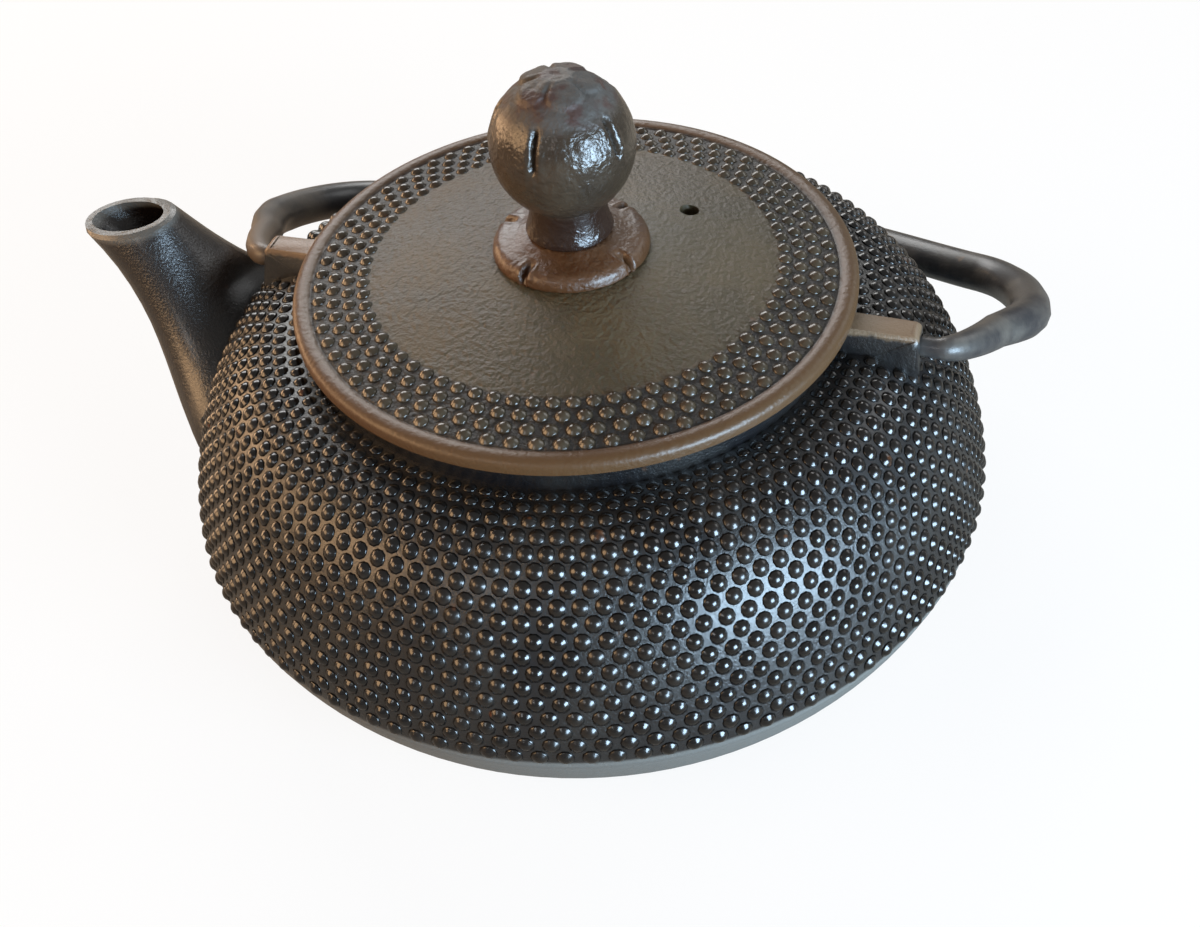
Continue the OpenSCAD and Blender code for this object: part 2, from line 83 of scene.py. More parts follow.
def sees_backdrop(tree, share, gloss_share):
    """How much of the white backdrop a ray sees: share of it straight, gloss_share mirrored."""
    path = tree.nodes.new("ShaderNodeLightPath")
    direct = math_node(tree, "MAXIMUM", path.outputs["Is Camera Ray"],
                       path.outputs["Is Transmission Ray"])
    straight = math_node(tree, "MULTIPLY", direct, share)
    mirrored = math_node(tree, "MULTIPLY", path.outputs["Is Glossy Ray"], gloss_share)
    return math_node(tree, "MAXIMUM", straight, mirrored)


world = bpy.data.worlds.new("room")
bpy.context.scene.world = world
world.use_nodes = True
tree = world.node_tree
tree.nodes.clear()
sky_light = tree.nodes.new("ShaderNodeBackground")
sky_light.inputs["Color"].default_value = (1.0, 0.98, 0.95, 1)
sky_light.inputs["Strength"].default_value = SKY_LIGHT
sky_white = tree.nodes.new("ShaderNodeBackground")
sky_white.inputs["Color"].default_value = (1, 1, 1, 1)
sky_white.inputs["Strength"].default_value = 1.0
sky_mix = tree.nodes.new("ShaderNodeMixShader")
link(tree, sees_backdrop(tree, SKY_SEEN, SKY_MIRRORED), sky_mix.inputs["Fac"])
link(tree, sky_light.outputs[0], sky_mix.inputs[1])
link(tree, sky_white.outputs[0], sky_mix.inputs[2])
sky_out = tree.nodes.new("ShaderNodeOutputWorld")
link(tree, sky_mix.outputs[0], sky_out.inputs["Surface"])


# Table top. A white painted board under the pot. The camera sees it almost white with the
# pot's soft shadow on it, and it throws a dimmer, warmer light back at the pot.
BOARD_R, BOARD_SEEN, BOARD_MIRRORED = 3.0, 0.86, 0.03
BOARD_BOUNCE, BOARD_PAINT = (0.32, 0.28, 0.23), (0.8, 0.8, 0.8)


def new_object(name, bm, smooth=True):
    """An object at the origin from a finished bmesh."""
    mesh = bpy.data.meshes.new(name)
    bmesh.ops.recalc_face_normals(bm, faces=bm.faces)
    bm.to_mesh(mesh)
    bm.free()
    if smooth:
        mesh.shade_smooth()
    piece = bpy.data.objects.new(name, mesh)
    bpy.context.scene.collection.objects.link(piece)
    return piece


def mixed(tree, factor, first, second):
    """A colour between two, each a plain colour or a socket."""
    node = tree.nodes.new("ShaderNodeMix")
    node.data_type = "RGBA"
    link(tree, factor, node.inputs["Factor"])
    for label, value in (("A", first), ("B", second)):
        if isinstance(value, tuple):
            node.inputs[label].default_value = (*value, 1)
        else:
            link(tree, value, node.inputs[label])
    return node.outputs["Result"]


board = bmesh.new()
bmesh.ops.create_circle(board, cap_ends=True, segments=64, radius=BOARD_R)
table_top = new_object("table_top", board, smooth=False)
white_board = bpy.data.materials.new("white_board")
white_board.use_nodes = True
tree = white_board.node_tree
tree.nodes.clear()
board_paint = tree.nodes.new("ShaderNodeBsdfDiffuse")
seen = tree.nodes.new("ShaderNodeLightPath").outputs["Is Camera Ray"]
link(tree, mixed(tree, seen, BOARD_BOUNCE, BOARD_PAINT), board_paint.inputs["Color"])
board_glow = tree.nodes.new("ShaderNodeEmission")
board_glow.inputs["Strength"].default_value = 1.0
board_mix = tree.nodes.new("ShaderNodeMixShader")
link(tree, sees_backdrop(tree, BOARD_SEEN, BOARD_MIRRORED), board_mix.inputs["Fac"])
link(tree, board_paint.outputs[0], board_mix.inputs[1])
link(tree, board_glow.outputs[0], board_mix.inputs[2])
board_out = tree.nodes.new("ShaderNodeOutputMaterial")
link(tree, board_mix.outputs[0], board_out.inputs["Surface"])
table_top.data.materials.append(white_board)


# Lamps. A cool window stands low on the right, two warm walls on the left, a large white panel
# behind with a dim one to its right, and a small pale sheet in front. The camera sees none of them.
# Each row: name, azimuth and elevation (degrees), distance and size (m), radiance, colour.
LAMPS = (
    ("window", -28, 10, 0.5, (0.27, 0.24), 31.0, (0.56, 0.78, 1.0)),
    ("warm_wall", -146, 24, 0.7, (0.44, 0.36), 6.5, (1.0, 0.62, 0.32)),
    ("warm_side", 170, 8, 0.7, (0.40, 0.26), 6.0, (1.0, 0.62, 0.34)),
    ("back_panel", 120, 31, 0.8, (0.62, 0.36), 6.0, (1.0, 1.0, 0.99)),
    ("side_panel", 48, 30, 0.8, (0.40, 0.30), 2.2, (0.98, 0.99, 1.0)),
    ("front_sheet", -104, 36, 0.8, (0.18, 0.16), 5.0, (0.98, 0.99, 1.0)))
LAMP_AIM = Vector((0, 0, 0.045))


def soft_lamp(name, azimuth, elevation, distance, size, radiance, color):
    """A rectangular lamp that faces the pot, placed by direction; radiance 1 is white."""
    data = bpy.data.lights.new(name, "AREA")
    data.shape = "RECTANGLE"
    data.size, data.size_y = size
    data.energy = radiance * math.pi * size[0] * size[1]
    data.color = color
    lamp = bpy.data.objects.new(name, data)
    az, el = math.radians(azimuth), math.radians(elevation)
    way = Vector((math.cos(el) * math.cos(az), math.cos(el) * math.sin(az), math.sin(el)))
    lamp.location = LAMP_AIM + way * distance
    lamp.rotation_euler = way.to_track_quat("Z", "Y").to_euler()
    lamp.visible_camera = False
    bpy.context.scene.collection.objects.link(lamp)


for lamp in LAMPS:
    soft_lamp(*lamp)


# Cast grain. Sand-cast iron has a fine pebbled skin, which the lacquer rounds off. It wears in
# soft patches and rusts in specks.
WARP_SCALE, WARP_BY, PEBBLE_SMOOTH = 420, 0.0014, 0.8
SAND_SCALE, CRACKLE_SCALE, WEAR_SCALE, RUST_SCALE = 2400, 1100, 95, 300


def group(name, inputs, outputs):
    """A shader node group with named inputs (name, value) and outputs (name, kind)."""
    made = bpy.data.node_groups.new(name, "ShaderNodeTree")
    for label, value in inputs:
        socket = made.interface.new_socket(label, in_out="INPUT", socket_type="NodeSocketFloat")
        socket.default_value = value
    for label, kind in outputs:
        made.interface.new_socket(label, in_out="OUTPUT", socket_type="NodeSocket" + kind)
    return made, made.nodes.new("NodeGroupInput"), made.nodes.new("NodeGroupOutput")


def noise_node(tree, vector, scale, detail=2.0, roughness=0.5):
    """Noise over a place, from 0 to 1."""
    node = tree.nodes.new("ShaderNodeTexNoise")
    link(tree, vector, node.inputs["Vector"])
    node.inputs["Scale"].default_value = scale
    node.inputs["Detail"].default_value = detail
    node.inputs["Roughness"].default_value = roughness
    return node.outputs["Fac"]


def ramp_node(tree, value, low, high, to_low=0.0, to_high=1.0):
    """Value from low..high onto to_low..to_high, eased at both ends."""
    node = tree.nodes.new("ShaderNodeMapRange")
    node.interpolation_type = "SMOOTHSTEP"
    link(tree, value, node.inputs["Value"])
    for label, number in (("From Min", low), ("From Max", high),
                          ("To Min", to_low), ("To Max", to_high)):
        node.inputs[label].default_value = number
    return node.outputs[0]


def both(tree, first, second):
    """The mask where two masks meet."""
    return math_node(tree, "MULTIPLY", first, second)


def place_node(tree):
    """A point's place on the object, in metres."""
    return tree.nodes.new("ShaderNodeTexCoord").outputs["Object"]


def place_parts(tree):
    """The same place as its X, Y and Z."""
    split = tree.nodes.new("ShaderNodeSeparateXYZ")
    link(tree, place_node(tree), split.inputs[0])
    return split.outputs


def axis_distance(tree):
    """Distance from the pot's upright axis, in metres, and the height."""
    parts = place_parts(tree)
    squares = math_node(tree, "ADD", math_node(tree, "POWER", parts["X"], 2.0),
                        math_node(tree, "POWER", parts["Y"], 2.0))
    return math_node(tree, "SQRT", squares), parts["Z"]


cast_grain, grain_in, grain_out = group(
    "cast_grain",
    [("Pebble", 1.0), ("Pebble Scale", 900.0), ("Sand", 1.0), ("Crackle", 0.0)],
    [("Height", "Float"), ("Wear", "Float"), ("Rust", "Float")])
coords = place_node(cast_grain)
warp = cast_grain.nodes.new("ShaderNodeTexNoise")
link(cast_grain, coords, warp.inputs["Vector"])
warp.inputs["Scale"].default_value = WARP_SCALE
warped = cast_grain.nodes.new("ShaderNodeVectorMath")
warped.operation = "MULTIPLY_ADD"
link(cast_grain, warp.outputs["Color"], warped.inputs[0])
warped.inputs[1].default_value = (WARP_BY, WARP_BY, WARP_BY)
link(cast_grain, coords, warped.inputs[2])
pebble = cast_grain.nodes.new("ShaderNodeTexVoronoi")
pebble.feature = "SMOOTH_F1"
link(cast_grain, grain_in.outputs["Pebble Scale"], pebble.inputs["Scale"])
pebble.inputs["Smoothness"].default_value = PEBBLE_SMOOTH
pebble.inputs["Randomness"].default_value = 1.0
link(cast_grain, warped.outputs[0], pebble.inputs["Vector"])
pebbles = math_node(cast_grain, "MULTIPLY", pebble.outputs["Distance"],
                    grain_in.outputs["Pebble"])
sand = math_node(cast_grain, "MULTIPLY", noise_node(cast_grain, coords, SAND_SCALE, 3.0, 0.6),
                 grain_in.outputs["Sand"])
crackle = math_node(cast_grain, "MULTIPLY",
                    noise_node(cast_grain, warped.outputs[0], CRACKLE_SCALE, 1.0, 0.4),
                    grain_in.outputs["Crackle"])
height = math_node(cast_grain, "ADD", math_node(cast_grain, "ADD", pebbles, sand), crackle)
link(cast_grain, height, grain_out.inputs["Height"])
patches = noise_node(cast_grain, coords, WEAR_SCALE, 4.0, 0.6)
link(cast_grain, ramp_node(cast_grain, patches, 0.36, 0.68), grain_out.inputs["Wear"])
specks = noise_node(cast_grain, coords, RUST_SCALE, 2.0, 0.5)
link(cast_grain, ramp_node(cast_grain, specks, 0.70, 0.78), grain_out.inputs["Rust"])


def lacquered_iron(name, low, high, rust, rough, coat, coat_rough, pebble, sand, depth,
                   specular=0.5, pebble_scale=900, crackle=0.0):
    """Lacquer over cast iron: mottled from low to high, rust in specks, a grain bump of depth m."""
    material = bpy.data.materials.new(name)
    material.use_nodes = True
    tree = material.node_tree
    shader = tree.nodes["Principled BSDF"]
    grain = tree.nodes.new("ShaderNodeGroup")
    grain.node_tree = cast_grain
    grain.inputs["Pebble"].default_value = pebble
    grain.inputs["Pebble Scale"].default_value = pebble_scale
    grain.inputs["Sand"].default_value = sand
    grain.inputs["Crackle"].default_value = crackle
    base = mixed(tree, grain.outputs["Rust"], mixed(tree, grain.outputs["Wear"], low, high), rust)
    link(tree, base, shader.inputs["Base Color"])
    gloss = ramp_node(tree, grain.outputs["Wear"], 0.0, 1.0, rough[0], rough[1])
    link(tree, gloss, shader.inputs["Roughness"])
    bump = tree.nodes.new("ShaderNodeBump")
    bump.name = "bump"
    bump.inputs["Strength"].default_value = 1.0
    bump.inputs["Distance"].default_value = depth
    link(tree, grain.outputs["Height"], bump.inputs["Height"])
    link(tree, bump.outputs[0], shader.inputs["Normal"])
    shader.inputs["Coat Weight"].default_value = coat
    shader.inputs["Coat Roughness"].default_value = coat_rough
    shader.inputs["Specular IOR Level"].default_value = specular
    return material


def recolour(material, mask, colour, rough):
    """Where the mask is 1, give the surface another colour and another roughness."""
    tree = material.node_tree
    shader = tree.nodes["Principled BSDF"]
    base = shader.inputs["Base Color"].links[0].from_socket
    gloss = shader.inputs["Roughness"].links[0].from_socket
    link(tree, mixed(tree, mask, base, colour), shader.inputs["Base Color"])
    spread = math_node(tree, "SUBTRACT", rough, gloss)
    link(tree, math_node(tree, "MULTIPLY_ADD", spread, mask, gloss), shader.inputs["Roughness"])


# Pot. One iron casting: round body, spout, two lugs and foot ring, poured in a sand mould
# and lacquered black. The lacquer stops above the foot, where the iron is bare and rubbed grey.
MM = 0.001
BELLY_Z = 18.5
SKIN = ((63.6, 18.5), (63.6, 22.5), (57.0, 50.5), (39.4, 45.8))
SKIN_STEPS = 400
SKIN_EARLY, LAY_STEPS = 0.04, 420
NAIL_REACH = 0.78
LIP_LOW, LIP_TILT, LIP_ROUND = Vector((-85.0, 50.0)), math.radians(7.3), 0.55
LUG_END, LUG_HALF, LUG_DRAFT, LUG_FLARE, LUG_ROUND = 51.5, 2.4, 0.193, 0.11, 1.2
LUG_IN, LUG_OUT, LUG_LOW, LUG_CREST, LUG_SLACK = 42.5, 54, 44, 0.5, 0.05
LUG_SCORES = (0.0, 0.38, 0.71, 0.92)

pot_iron = lacquered_iron(
    "pot_iron", low=(0.004, 0.004, 0.005), high=(0.009, 0.008, 0.007), rust=(0.05, 0.024, 0.012),
    rough=(0.34, 0.44), coat=0.3, coat_rough=0.22, pebble=0.25, sand=1.0, depth=0.00012,
    specular=0.7)
tree = pot_iron.node_tree
radius, height = axis_distance(tree)
place = place_parts(tree)

# Bare iron under the belly's widest ring, streaked round it; a painted reflection pales its right.
streaks = noise_node(tree, height, 3200, 3.0, 0.7)
bare_with_painted_glare = both(tree, ramp_node(tree, height, BELLY_Z * MM, (BELLY_Z - 0.8) * MM),
            ramp_node(tree, streaks, 0.25, 0.6, 0.55, 1.0))
# Painted reflection: the bare grey fades towards the left, away from the window, and is palest on
# the right.
bare_with_painted_glare = both(tree, bare_with_painted_glare, ramp_node(tree, place["X"], -56 * MM, 20 * MM, 0.45, 1.0))
recolour(pot_iron, bare_with_painted_glare, (0.15, 0.147, 0.135), 0.5)

# The lugs' tops, painted a lighter brown with a ragged edge.
crest_noise = noise_node(tree, place_node(tree), 500)
crest_height = math_node(tree, "MULTIPLY_ADD", crest_noise, 1.2 * MM, height)
lug_tops = both(tree, ramp_node(tree, crest_height, 49.4 * MM, 50.2 * MM),
                ramp_node(tree, radius, 60 * MM, 56 * MM))
recolour(pot_iron, lug_tops, (0.17, 0.105, 0.055), 0.55)

# The spout, glossier than the body, and its lip, worn grey.
lip_up = Vector((-math.sin(LIP_TILT), math.cos(LIP_TILT)))
lip_rise = LIP_LOW.dot(lip_up)
lip_height = math_node(tree, "ADD", math_node(tree, "MULTIPLY", place["X"], lip_up.x),
                       math_node(tree, "MULTIPLY", place["Z"], lip_up.y))
worn_lip = both(tree, ramp_node(tree, lip_height, (lip_rise - 1.6) * MM, (lip_rise - 0.5) * MM),
                ramp_node(tree, place["X"], -60 * MM, -64 * MM))
on_spout = both(tree, ramp_node(tree, place["X"], -58 * MM, -64 * MM),
                ramp_node(tree, height, 20 * MM, 24 * MM))
recolour(pot_iron, on_spout, (0.006, 0.0035, 0.003), 0.3)
recolour(pot_iron, worn_lip, (0.075, 0.068, 0.058), 0.48)


def bezier(pulls, t):
    """A point on the cubic curve with these four pulls."""
    a, b, c, d = (Vector(p) for p in pulls)
    s = 1 - t
    return a * s ** 3 + b * 3 * s * s * t + c * 3 * s * t * t + d * t ** 3


def loose_copy(node):
    """A bmesh of a CAD node with its loose triangles joined."""
    bm = bmesh.new()
    bm.from_mesh(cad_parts[node].data)
    bmesh.ops.remove_doubles(bm, verts=bm.verts, dist=2e-6)
    return bm


def lay_flat(bm, outline):
    """Lay the solid's pointed hobnails flat on the outline, to make way for round ones."""
    near_outline = KDTree(len(outline))
    for i, p in enumerate(outline):
        near_outline.insert((p.x, 0, p.y), i)
    near_outline.balance()
    for v in bm.verts:
        r = math.hypot(v.co.x, v.co.y) / MM
        if r < 1:
            continue
        spot, i, gap = near_outline.find((r, 0, v.co.z / MM))
        if 0.02 < gap < NAIL_REACH and 0 < i < len(outline) - 1:
            v.co.x *= spot.x / r
            v.co.y *= spot.x / r
            v.co.z = spot.z * MM
    bmesh.ops.remove_doubles(bm, verts=bm.verts, dist=4e-6)
    bmesh.ops.dissolve_degenerate(bm, edges=bm.edges, dist=8e-6)


def casting(name, bm, sharp_deg, material):
    """A smooth object whose edges are sharp where the faces turn by more than sharp_deg."""
    mesh = bpy.data.meshes.new(name)
    bm.to_mesh(mesh)
    bm.free()
    for layer in ("custom_normal", "sharp_face", "sharp_edge"):
        found = mesh.attributes.get(layer)
        if found:
            mesh.attributes.remove(found)
    mesh.materials.clear()
    mesh.materials.append(material)
    mesh.shade_smooth()
    mesh.set_sharp_from_angle(angle=math.radians(sharp_deg))
    piece = bpy.data.objects.new(name, mesh)
    bpy.context.scene.collection.objects.link(piece)
    return piece


def ease(value, low, high):
    """0 below low, 1 above high, and smooth between."""
    t = min(max((value - low) / (high - low), 0.0), 1.0)
    return t * t * (3 - 2 * t)


skin = [bezier(SKIN, i / SKIN_STEPS) for i in range(SKIN_STEPS + 1)]

pot = loose_copy("pot_body")
lay_flat(pot, [bezier(SKIN, -SKIN_EARLY + i * (1 + SKIN_EARLY) / LAY_STEPS)
               for i in range(LAY_STEPS + 1)])
lip_verts = {v for v in pot.verts if v.co.x < -60 * MM
             and abs((Vector((v.co.x, v.co.z)) / MM - LIP_LOW).dot(lip_up)) < 0.06}
lip_edges = [e for e in pot.edges if e.verts[0] in lip_verts and e.verts[1] in lip_verts
             and any(not all(v in lip_verts for v in f.verts) for f in e.link_faces)]
bmesh.ops.bevel(pot, geom=lip_edges, affect="EDGES", offset=LIP_ROUND * MM, segments=3,
                profile=0.5, material=-1, clamp_overlap=True)
lug_top = max(v.co.z for v in pot.verts
              if 46 < abs(v.co.x) / MM < 52 and abs(v.co.y) / MM < 4) / MM


def lug_reach(z):
    """How far a lug reaches at height z: out along x, and to each side along y, in mm."""
    sink = max(lug_top - z, 0)
    return LUG_END + LUG_FLARE * sink, LUG_HALF + LUG_DRAFT * max(sink - LUG_CREST, 0)


def on_lug(spot):
    """Whether a point lies on the part of a lug that stands clear of the body."""
    x, y, z = abs(spot.x) / MM, abs(spot.y) / MM, spot.z / MM
    if not (LUG_IN < x < LUG_OUT and LUG_LOW < z < lug_top + LUG_SLACK):
        return False
    end, half_width = lug_reach(z)
    return x < end + LUG_SLACK and y < half_width + LUG_SLACK


def cut_lugs(spot, way):
    """Score the lugs' faces along one plane, to give the rounding its points."""
    faces = [f for f in pot.faces if all(on_lug(v.co) for v in f.verts)]
    edges = list({e for f in faces for e in f.edges})
    verts = list({v for f in faces for v in f.verts})
    bmesh.ops.bisect_plane(pot, geom=faces + edges + verts, dist=5e-6, plane_co=spot, plane_no=way)


for share in LUG_SCORES:
    back = LUG_ROUND * (1 - share)
    cut_lugs((0, 0, (lug_top - back) * MM), (0, 0, 1))
    for sign in (-1, 1):
        cut_lugs((sign * (LUG_END - back) * MM, 0, lug_top * MM), (sign, 0, LUG_FLARE))
        cut_lugs((0, sign * (LUG_HALF - back) * MM, (lug_top - LUG_CREST) * MM),
                 (0, sign, LUG_DRAFT))
for v in pot.verts:
    if not on_lug(v.co):
        continue
    end, half_width = lug_reach(v.co.z / MM)
    point = Vector((abs(v.co.x) / MM, abs(v.co.y) / MM, v.co.z / MM))
    core = Vector((min(point.x, end - LUG_ROUND), min(point.y, half_width - LUG_ROUND),
                   min(point.z, lug_top - LUG_ROUND)))
    out = point - core
    if out.length > LUG_ROUND:
        hold = ease(v.co.z / MM, 44.0, 45.2)
        spot = core + out * (1 + (LUG_ROUND / out.length - 1) * hold)
        v.co = (math.copysign(spot.x * MM, v.co.x), math.copysign(spot.y * MM, v.co.y), spot.z * MM)
pot_shell = BVHTree.FromBMesh(pot)
pot_casting = casting("pot_casting", pot, 30, pot_iron)
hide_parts("pot_body")
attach(pot_casting, "pot")


# Hobnails on the pot. Each is a low round stud cast with the body, in rings of 114 with every
# second ring set half a step round. None stands under the spout's root or the lugs.
STUDS_ROUND, STUD_RINGS = 114, 18
STUD_FIRST, STUD_LAST = 0.8, 1.4
STUD_SHARE, STUD_TALL, STUD_SIDES = 0.415, 0.5, 10
STUD_FORM = ((1.12, -0.08), (0.88, 0.24), (0.64, 0.66), (0.34, 0.92))
SIGHT = 0.03

nub_iron = lacquered_iron(
    "nub_iron", low=(0.005, 0.004, 0.0035), high=(0.012, 0.009, 0.007), rust=(0.10, 0.035, 0.012),
    rough=(0.20, 0.32), coat=0.4, coat_rough=0.1, pebble=0.1, sand=0.6, depth=0.00004,
    specular=0.4)


def stud_ring(count, r, z, lean, base, tall, turn, shell=None):
    """One ring of studs, the first at (r, z) leaning out by lean; none where shell covers it."""
    bm = bmesh.new()
    rim = bmesh.ops.create_circle(bm, cap_ends=True, segments=STUD_SIDES,
                                  radius=base * STUD_FORM[0][0])["verts"]
    bmesh.ops.translate(bm, verts=rim, vec=(0, 0, STUD_FORM[0][1] * tall))
    edges = list(bm.edges)
    for (last, _), (share, rise) in zip(STUD_FORM, STUD_FORM[1:]):
        grown = bmesh.ops.extrude_edge_only(bm, edges=edges)["geom"]
        verts = [g for g in grown if isinstance(g, bmesh.types.BMVert)]
        edges = [g for g in grown if isinstance(g, bmesh.types.BMEdge)]
        bmesh.ops.scale(bm, verts=verts, vec=(share / last, share / last, 1))
        for v in verts:
            v.co.z = tall * rise
    cap = bmesh.ops.contextual_create(bm, geom=edges)["faces"]
    for v in bmesh.ops.poke(bm, faces=cap, offset=0.0)["verts"]:
        v.co.z = tall
    spot = Matrix.Translation((r, 0, z)) @ Matrix.Rotation(lean, 4, "Y")
    bmesh.ops.transform(bm, matrix=Matrix.Rotation(turn, 4, "Z") @ spot, verts=bm.verts)
    bmesh.ops.recalc_face_normals(bm, faces=bm.faces)
    bmesh.ops.spin(bm, geom=list(bm.verts) + list(bm.edges) + list(bm.faces), cent=(0, 0, 0),
                   axis=(0, 0, 1), angle=math.tau * (count - 1) / count, steps=count - 1,
                   use_duplicate=True)
    if shell:
        out = Vector((math.sin(lean), 0, math.cos(lean)))
        hidden = set()
        for j in range(count):
            swing = Matrix.Rotation(turn + j * math.tau / count, 3, "Z")
            if shell.ray_cast(swing @ (Vector((r, 0, z)) + out * tall), swing @ out, SIGHT)[0]:
                hidden.add(j)
        lost = [v for v in bm.verts
                if round((math.atan2(v.co.y, v.co.x) - turn) * count / math.tau) % count in hidden]
        bmesh.ops.delete(bm, geom=lost, context="VERTS")
    mesh = bpy.data.meshes.new("stud_ring")
    bm.to_mesh(mesh)
    bm.free()
    return mesh


runs = [0.0]
for a, b in zip(skin, skin[1:]):
    runs.append(runs[-1] + (b - a).length)
ring_gap = (runs[-1] - STUD_LAST - STUD_FIRST) / (STUD_RINGS - 1)
studs = bmesh.new()
for k in range(STUD_RINGS):
    i = min(range(len(runs)), key=lambda n: abs(runs[n] - STUD_FIRST - ring_gap * k))
    along = (skin[min(i + 1, SKIN_STEPS)] - skin[max(i - 1, 0)]).normalized()
    spot = skin[i]
    pitch = math.tau * spot.x / STUDS_ROUND
    base = STUD_SHARE * min(math.hypot(pitch / 2, ring_gap), pitch)
    studs.from_mesh(stud_ring(
        STUDS_ROUND, spot.x * MM, spot.y * MM, math.atan2(along.y, -along.x), base * MM,
        STUD_TALL * base * MM, math.tau / STUDS_ROUND * (k % 2) / 2, pot_shell))
hobnails = new_object("hobnails", studs)
hobnails.data.materials.append(nub_iron)
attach(hobnails, "pot")


# Lid. A domed iron plate, pebbled like leather, with a hobnailed band, a smooth rolled rim worn
# brown and one steam hole. A skirt underneath centres it in the mouth.
PLATE_R, PLATE_Z, SEAT_R, LID_RISE = 38.8, 52.8, 11.6, 4.0
BAND_IN, BAND_WIDE, BAND_STEPS = 27.4, 11.4, 200


def lid_dome(r):
    """Height of the lid's domed top at r from the middle, in mm."""
    return PLATE_Z + LID_RISE * (1 - (max(r - SEAT_R, 0) / (PLATE_R - SEAT_R)) ** 1.25)


lid_iron_worn = lacquered_iron(
    "lid_iron_worn", low=(0.050, 0.036, 0.017), high=(0.078, 0.055, 0.026),
    rust=(0.08, 0.045, 0.025), rough=(0.42, 0.52), coat=0.1, coat_rough=0.3, pebble=0.7, sand=0.7,
    depth=0.00032, specular=0.45, pebble_scale=1200, crackle=0.8)
tree = lid_iron_worn.node_tree
radius, height = axis_distance(tree)

# Painted shade on the plate between the hobnails, the brown rim, and the rim's calmer grain.
rim_mask = ramp_node(tree, radius, 38.9 * MM, 39.7 * MM)
band_painted_shade = both(tree, ramp_node(tree, radius, 30.2 * MM, 31.0 * MM),
               ramp_node(tree, height, 52.4 * MM, 52.6 * MM))
recolour(lid_iron_worn, band_painted_shade, (0.012, 0.009, 0.007), 0.45)
recolour(lid_iron_worn, rim_mask, (0.080, 0.039, 0.014), 0.43)
bump_height = tree.nodes["bump"].inputs["Height"]
calm = ramp_node(tree, radius, 38.6 * MM, 39.4 * MM, 1.0, 0.25)
link(tree, math_node(tree, "MULTIPLY", bump_height.links[0].from_socket, calm), bump_height)

lid = loose_copy("lid")
band = [BAND_IN + i * BAND_WIDE / BAND_STEPS for i in range(BAND_STEPS + 1)]
lay_flat(lid, [Vector((r, lid_dome(r))) for r in band])
lid_casting = casting("lid_casting", lid, 32, lid_iron_worn)
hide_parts("lid")
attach(lid_casting, "lid")


# Hobnails on the lid. Low round studs cast with the plate, in four rings of 72 inside its rim.
# Their lacquer is worn to a glossy brown.
LID_STUDS_ROUND, LID_RING_GAP = 72, 2.25
LID_RINGS = [38.0 - LID_RING_GAP * k for k in range(4)]
LID_STUD_SHARE, LID_STUD_TALL = 0.40, 0.6

lid_nub_iron = lacquered_iron(
    "lid_nub_iron", low=(0.034, 0.024, 0.014), high=(0.058, 0.040, 0.023),
    rust=(0.09, 0.045, 0.022), rough=(0.16, 0.26), coat=0.3, coat_rough=0.1, pebble=0.2, sand=0.6,
    depth=0.00008)
lid_studs = bmesh.new()
for k, r in enumerate(LID_RINGS):
    base = LID_STUD_SHARE * math.hypot(math.pi * r / LID_STUDS_ROUND, LID_RING_GAP)
    lean = math.atan2(lid_dome(r - 0.2) - lid_dome(r + 0.2), 0.4)
    lid_studs.from_mesh(stud_ring(
        LID_STUDS_ROUND, r * MM, lid_dome(r) * MM, lean, base * MM, LID_STUD_TALL * base * MM,
        math.tau / LID_STUDS_ROUND * (k % 2) / 2))
lid_hobnails = new_object("lid_hobnails", lid_studs)
lid_hobnails.data.materials.append(lid_nub_iron)
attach(lid_hobnails, "lid")


# Knob. A cast bud on a short stem: five slits part the petals on its flank and an open
# flower lies on its crown. Its tenon goes through the seat and the lid and is riveted over.
BUD_R, BUD_Z, BUD_LOW = 10.25, 74.05, 65.5
PETALS = 5
SLIT_FIRST, SLIT_HALF, SLIT_DEPTH = -95.0, 0.35, 0.90
SLIT_LIP, SLIT_LIP_HALF = 1.05, 0.5
CROWN_FIRST = -58.0
CROWN_REACH, CROWN_PETAL = 5.95, 2.62
ARC_STEPS = 96
ROUND_STEPS = 240

knob_iron = lacquered_iron(
    "knob_iron", low=(0.030, 0.020, 0.013), high=(0.056, 0.039, 0.025), rust=(0.080, 0.050, 0.030),
    rough=(0.19, 0.27), coat=0.12, coat_rough=0.12, pebble=0.0, sand=0.35, depth=0.0002,
    crackle=1.0)
tree = knob_iron.node_tree
height = place_parts(tree)["Z"]

# The crown: a painted reflection of the pale light above in grey, brown spots; the dark, glossy
# stem.
crown_painted_reflection = ramp_node(tree, height, 79.6 * MM, 81.6 * MM)
recolour(knob_iron, crown_painted_reflection, (0.060, 0.050, 0.042), 0.7)
crown_spots = ramp_node(tree, noise_node(tree, place_node(tree), 330, 2.0, 0.5), 0.46, 0.62)
recolour(knob_iron, both(tree, crown_painted_reflection, crown_spots), (0.044, 0.019, 0.013), 0.6)
stem = ramp_node(tree, height, 67.0 * MM, 64.5 * MM)
recolour(knob_iron, stem, (0.020, 0.010, 0.007), 0.2)


def spun(outline, steps, closed=False):
    """A bmesh of an outline of (r, z) points in mm, spun full circle round the upright axis."""
    bm = bmesh.new()
    verts = [bm.verts.new((r * MM, 0, z * MM)) for r, z in outline]
    for a, b in zip(verts, verts[1:]):
        bm.edges.new((a, b))
    if closed:
        bm.edges.new((verts[-1], verts[0]))
    bmesh.ops.spin(bm, geom=list(bm.verts) + list(bm.edges), cent=(0, 0, 0), axis=(0, 0, 1),
                   angle=math.tau, steps=steps, use_merge=True)
    bmesh.ops.remove_doubles(bm, verts=bm.verts, dist=1e-6)
    bmesh.ops.dissolve_degenerate(bm, edges=bm.edges, dist=1e-7)
    return bm


def turn_gap(angle, other):
    """The turn from other to angle, in degrees between -180 and 180."""
    return (angle - other + 180) % 360 - 180


